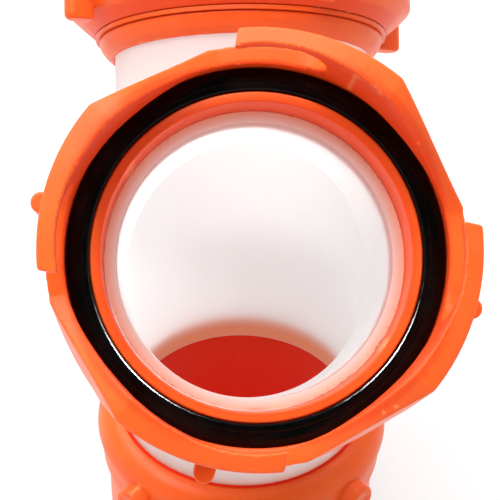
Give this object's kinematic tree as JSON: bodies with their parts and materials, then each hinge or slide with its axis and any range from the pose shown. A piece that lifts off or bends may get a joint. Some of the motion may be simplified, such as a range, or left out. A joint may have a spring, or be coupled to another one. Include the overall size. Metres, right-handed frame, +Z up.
{
  "type": "sewer hose wye fitting",
  "caption": "Translucent symmetric wye pipe fitting with swivelling bayonet hook rings on its arms and a lug spigot on its stem.",
  "frame": {"origin": "centre of the stem's end face, on the floor the part stands on", "axes": "+Z up along the stem, the arms rise at 45 degrees towards -Y and +Y, +X across both arms"},
  "size_m": [0.1196, 0.2475, 0.2238],
  "materials": {
    "orange_plastic": "glossy moulded orange",
    "translucent_plastic": "milky translucent, smooth",
    "black_rubber": "smooth, lightly wet-looking",
    "white_acetal": "satin",
    "dark_orange_plastic": "satin"
  },
  "bodies": {
    "wye": {"wye_body": "translucent_plastic", "stem_lug_sleeve": "orange_plastic", "stem_tube_seal": "black_rubber", "arm_a_sleeve": "orange_plastic", "arm_a_gasket": "black_rubber", "arm_a_retaining_clip": "dark_orange_plastic", "arm_a_swivel_washer": "white_acetal", "arm_a_tube_seal": "black_rubber", "arm_b_sleeve": "orange_plastic", "arm_b_gasket": "black_rubber", "arm_b_retaining_clip": "dark_orange_plastic", "arm_b_swivel_washer": "white_acetal", "arm_b_tube_seal": "black_rubber"},
    "hook_ring_a": {"arm_a_hook_ring": "orange_plastic"},
    "hook_ring_b": {"arm_b_hook_ring": "orange_plastic"}
  },
  "joints": [
    {"name": "hook_ring_a_swivel", "type": "hinge", "parent": "wye", "child": "hook_ring_a", "pos_m": [0, -0.06123, 0.16123], "axis": [0, -0.7071, 0.7071], "continuous": true},
    {"name": "hook_ring_b_swivel", "type": "hinge", "parent": "wye", "child": "hook_ring_b", "pos_m": [0, 0.06123, 0.16123], "axis": [0, 0.7071, 0.7071], "continuous": true}
  ]
}
